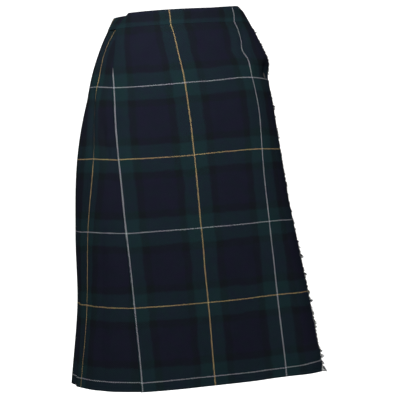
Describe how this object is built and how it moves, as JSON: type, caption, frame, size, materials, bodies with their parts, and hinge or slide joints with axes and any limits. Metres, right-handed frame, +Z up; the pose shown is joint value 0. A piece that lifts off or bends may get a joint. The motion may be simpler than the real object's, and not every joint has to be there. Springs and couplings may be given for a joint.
{
  "type": "scottish kilt",
  "caption": "Long wrap-over tartan kilt in its worn form: flat fringed front apron, knife-pleated back, waistband and side straps with buckles, open at waist and hem.",
  "frame": {"origin": "the middle of the waistband's top edge, inside the waist opening", "axes": "+Z up, -Y is the front, where the flat apron faces, and +X is the wearer's left, where the fringed edge and the straps are"},
  "size_m": [0.498, 0.3588, 0.731],
  "materials": {
    "tartan_wool": "matte twill wool tartan in dark green, navy and black with white and yellow lines",
    "fringe_yarn": "matte frayed wool yarn",
    "black_leather": "smooth black leather",
    "buckle_steel": "polished nickel"
  },
  "bodies": {
    "root": {"outer_apron": "tartan_wool", "pleated_back": "tartan_wool", "under_apron": "tartan_wool", "waistband_front": "tartan_wool", "waistband_back": "tartan_wool", "waistband_under": "tartan_wool", "apron_fringe": "fringe_yarn", "strap_waist": "black_leather", "tab_waist": "black_leather", "keeper_waist": "black_leather", "buckle_waist": "buckle_steel", "prong_waist": "buckle_steel", "strap_hip": "black_leather", "tab_hip": "black_leather", "keeper_hip": "black_leather", "buckle_hip": "buckle_steel", "prong_hip": "buckle_steel"}
  },
  "joints": []
}
